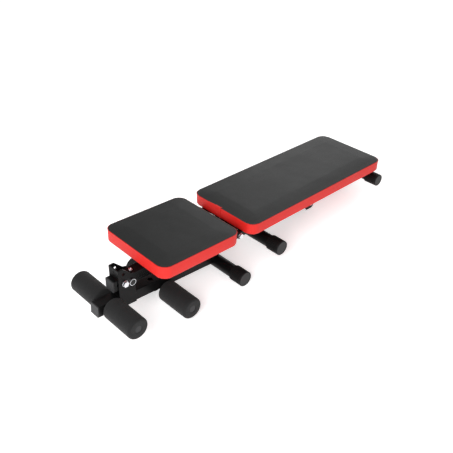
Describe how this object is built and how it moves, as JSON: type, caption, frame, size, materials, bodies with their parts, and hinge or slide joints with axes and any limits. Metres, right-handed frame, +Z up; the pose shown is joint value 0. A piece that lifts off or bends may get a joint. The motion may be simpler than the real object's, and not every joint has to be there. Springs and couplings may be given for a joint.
{
  "type": "adjustable weight bench",
  "caption": "Folding adjustable weight bench with a hinged seat and backrest, foam leg rollers and two folding legs, shown folded flat.",
  "frame": {"origin": "on the floor, at the middle of the base of the bounding box of the folded bench", "axes": "+X towards the head end of the backrest, +Y to the right, +Z up; the folded bench lies on its front foot and its rear bracket, so its beam falls by about 5 degrees towards the head end"},
  "size_m": [1.2764, 0.327, 0.2669],
  "materials": {
    "vinyl": "fine-grain black vinyl cover with a red side band",
    "plywood": "raw plywood",
    "black_steel": "semi-gloss black powder coat",
    "zinc": "bright zinc plate",
    "foot_rubber": "matte black ribbed rubber",
    "foam": "matte black closed-cell foam",
    "plastic": "dark grey moulded plastic"
  },
  "bodies": {
    "frame": {"main_beam": "black_steel", "beam_front_plug": "plastic", "beam_stop_bolt": "zinc", "hinge_tube": "black_steel", "hinge_bolt": "zinc", "hinge_nut": "zinc", "tail_foot_tube": "black_steel", "tail_foot_cap_left": "foot_rubber", "tail_foot_cap_right": "foot_rubber", "back_rack": "black_steel", "seat_rack": "black_steel", "front_pivot_bolt": "zinc", "front_pivot_nut": "zinc", "rear_bracket": "black_steel", "rear_pivot_bolt": "zinc", "rear_pivot_nut": "zinc", "rear_lock_collar": "zinc"},
    "front_leg": {"front_bracket": "black_steel", "front_leg_tube": "black_steel", "front_leg_plug": "plastic", "front_foot_tube": "black_steel", "front_foot_cap_left": "foot_rubber", "front_foot_cap_right": "foot_rubber", "roller_sleeve": "black_steel", "front_roller_rod": "black_steel", "rear_roller_rod": "black_steel", "front_roller_plugs": "plastic", "rear_roller_plugs": "plastic", "front_lock_collar": "zinc"},
    "rear_leg": {"rear_leg_tube": "black_steel", "rear_leg_plug": "plastic", "rear_foot_tube": "black_steel", "rear_foot_cap_left": "foot_rubber", "rear_foot_cap_right": "foot_rubber"},
    "backrest": {"backrest_pad": "vinyl", "backrest_board": "plywood", "backrest_rail_left": "black_steel", "backrest_rail_right": "black_steel", "backrest_cross_bar": "black_steel", "backrest_front_bar": "black_steel", "backrest_head_bar": "black_steel", "backrest_screws": "zinc", "back_strut_pins": "zinc"},
    "back_strut": {"back_strut": "black_steel"},
    "seat": {"seat_pad": "vinyl", "seat_board": "plywood", "seat_rail_left": "black_steel", "seat_rail_right": "black_steel", "seat_cross_bar": "black_steel", "seat_screws": "zinc", "seat_strut_pins": "zinc"},
    "seat_strut": {"seat_strut": "black_steel"},
    "front_lock_pin": {"front_lock_pin": "plastic"},
    "rear_lock_pin": {"rear_lock_pin": "plastic"},
    "front_roller_left": {"front_roller_left": "foam"},
    "front_roller_right": {"front_roller_right": "foam"},
    "rear_roller_left": {"rear_roller_left": "foam"},
    "rear_roller_right": {"rear_roller_right": "foam"}
  },
  "joints": [
    {"name": "front_leg_fold", "type": "hinge", "parent": "frame", "child": "front_leg", "pos_m": [-0.52723, 0, 0.1726], "axis": [0, 1, 0], "range_deg": [0, 81]},
    {"name": "rear_leg_fold", "type": "hinge", "parent": "frame", "child": "rear_leg", "pos_m": [0.35883, 0, 0.03018], "axis": [0, 1, 0], "range_deg": [-105, 0]},
    {"name": "backrest_tilt", "type": "hinge", "parent": "frame", "child": "backrest", "pos_m": [-0.10599, 0, 0.169], "axis": [0, 1, 0], "range_deg": [-52, 0]},
    {"name": "back_strut_swing", "type": "hinge", "parent": "backrest", "child": "back_strut", "pos_m": [0.09289, 0, 0.14739], "axis": [0, 1, 0], "range_deg": [0, 89]},
    {"name": "seat_tilt", "type": "hinge", "parent": "frame", "child": "seat", "pos_m": [-0.10599, 0, 0.169], "axis": [0, 1, 0], "range_deg": [0, 15]},
    {"name": "seat_strut_swing", "type": "hinge", "parent": "seat", "child": "seat_strut", "pos_m": [-0.38237, 0, 0.19979], "axis": [0, 1, 0], "range_deg": [0, 17]},
    {"name": "front_lock_slide", "type": "slide", "parent": "front_leg", "child": "front_lock_pin", "axis": [0, 1, 0], "range_m": [0, 0.0035]},
    {"name": "rear_lock_slide", "type": "slide", "parent": "frame", "child": "rear_lock_pin", "axis": [0, 1, 0], "range_m": [0, 0.0035]},
    {"name": "front_roller_left_spin", "type": "hinge", "parent": "front_leg", "child": "front_roller_left", "pos_m": [-0.58579, 0, 0.11023], "axis": [0, 1, 0], "continuous": true},
    {"name": "front_roller_right_spin", "type": "hinge", "parent": "front_leg", "child": "front_roller_right", "pos_m": [-0.58579, 0, 0.11023], "axis": [0, 1, 0], "continuous": true},
    {"name": "rear_roller_left_spin", "type": "hinge", "parent": "front_leg", "child": "rear_roller_left", "pos_m": [-0.37637, 0, 0.04767], "axis": [0, 1, 0], "continuous": true},
    {"name": "rear_roller_right_spin", "type": "hinge", "parent": "front_leg", "child": "rear_roller_right", "pos_m": [-0.37637, 0, 0.04767], "axis": [0, 1, 0], "continuous": true}
  ],
  "couplings": [
    {"joint": "back_strut_swing", "follows": "backrest_tilt", "ratio": -1.7},
    {"joint": "seat_strut_swing", "follows": "seat_tilt", "ratio": 1.1}
  ]
}
